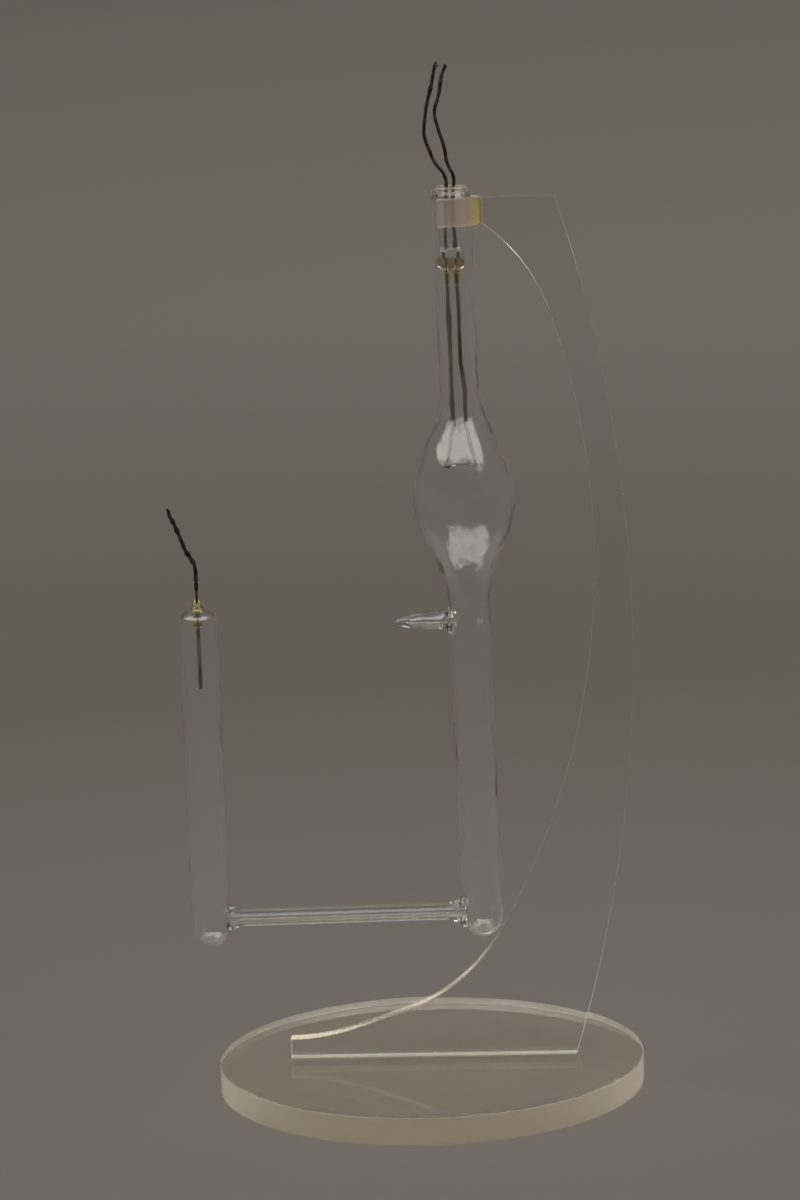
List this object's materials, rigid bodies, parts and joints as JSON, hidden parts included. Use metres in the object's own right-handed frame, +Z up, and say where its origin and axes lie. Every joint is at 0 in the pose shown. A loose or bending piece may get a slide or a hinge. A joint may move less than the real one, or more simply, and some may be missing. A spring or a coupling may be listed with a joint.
{
  "type": "krypton discharge lamp",
  "caption": "H-shaped krypton discharge lamp with a bulbed hot-cathode limb, capillary and anode limb, hung in a split collar on a clear arched stand with a disc base.",
  "frame": {"origin": "centre of the base disc's underside, on the surface that the stand rests on", "axes": "+Z up; the arm's sheet lies in the XZ plane with its back edge towards +X and its toe towards -X; the anode limb hangs on the -X side; the pictured side faces -Y"},
  "size_m": [0.1599, 0.15, 0.3588],
  "materials": {
    "disc_acrylic": "clear cast acrylic, faces polished, edge satin from the saw and slightly yellowed",
    "arm_acrylic": "clear cast acrylic with polished edges",
    "foot_cement": "clear solvent cement film",
    "collar_acrylic": "clear acrylic tube, cut faces satin",
    "aged_cement": "yellowed clear adhesive",
    "lamp_glass": "clear blown glass",
    "capillary_glass": "clear thick-walled capillary glass",
    "stem_glass": "clear flared glass with a fire-polished lip",
    "pinch_glass": "pressed glass, faintly yellow over the wires",
    "seal_glass": "yellow-green sealing glass",
    "lead_in_wire": "dull tungsten with a brown oxide skin",
    "weld_metal": "dark heat-stained weld metal",
    "rod_metal": "drawn nickel rod, dull and faintly stained",
    "clamp_metal": "pressed nickel",
    "filament_metal": "drawn tungsten wire",
    "lead_copper": "stranded copper darkened by oxide"
  },
  "bodies": {
    "stand": {"base_disc": "disc_acrylic", "upright_arm": "arm_acrylic", "foot_cement": "foot_cement", "neck_collar": "collar_acrylic", "collar_cement": "aged_cement"},
    "lamp": {"cathode_bulb": "lamp_glass", "cathode_tube": "lamp_glass", "exhaust_tip": "lamp_glass", "capillary_tube": "capillary_glass", "anode_tube": "lamp_glass", "stem_tube": "stem_glass", "stem_pinch": "pinch_glass", "seal_sleeve_left": "seal_glass", "seal_sleeve_right": "seal_glass", "lead_in_left": "lead_in_wire", "lead_in_right": "lead_in_wire", "weld_knot_left": "weld_metal", "weld_knot_right": "weld_metal", "support_rod_left": "rod_metal", "support_rod_right": "rod_metal", "filament_clamp_left": "clamp_metal", "filament_clamp_right": "clamp_metal", "filament_coil": "filament_metal", "cathode_lead_left": "lead_copper", "cathode_lead_right": "lead_copper", "anode_seal": "seal_glass", "anode_lead_in": "lead_in_wire", "anode_rod": "rod_metal", "anode_weld_knot": "weld_metal", "anode_lead": "lead_copper"}
  },
  "joints": [
    {"name": "lamp_swivel", "type": "hinge", "parent": "stand", "child": "lamp", "pos_m": [0.0165, 0, 0.3079], "axis": [-0.0133, 0, 0.9999], "range_deg": [-90, 90]}
  ]
}
